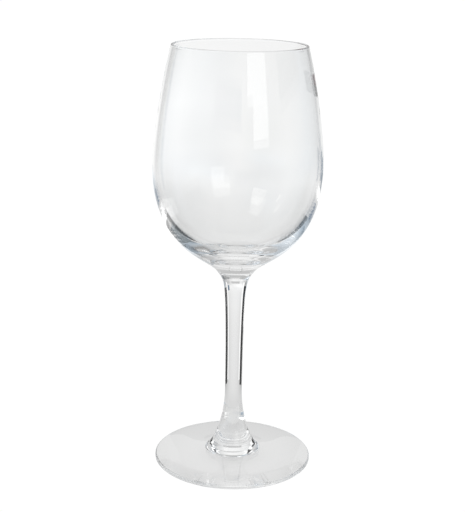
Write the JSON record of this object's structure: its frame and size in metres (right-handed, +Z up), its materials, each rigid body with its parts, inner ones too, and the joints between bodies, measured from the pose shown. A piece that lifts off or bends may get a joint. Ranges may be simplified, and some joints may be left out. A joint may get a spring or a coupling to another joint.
{
  "type": "wine glass",
  "caption": "Stemmed clear wine glass with a tulip bowl, a slim drawn stem that flares at both ends, a thin round foot and a small plain label.",
  "frame": {"origin": "centre of the foot's resting plane, on the glass's axis", "axes": "+Z up along the axis of the stem and bowl; +X points to the side that carries the label, which is centred 5 degrees from it towards +Y"},
  "size_m": [0.0848, 0.0848, 0.2154],
  "materials": {
    "clear_glass": "fire-polished clear soda-lime glass",
    "label_film": "pale grey satin film label with a plain dark red band"
  },
  "bodies": {
    "root": {"bowl": "clear_glass", "stem": "clear_glass", "foot": "clear_glass", "label": "label_film"}
  },
  "joints": []
}
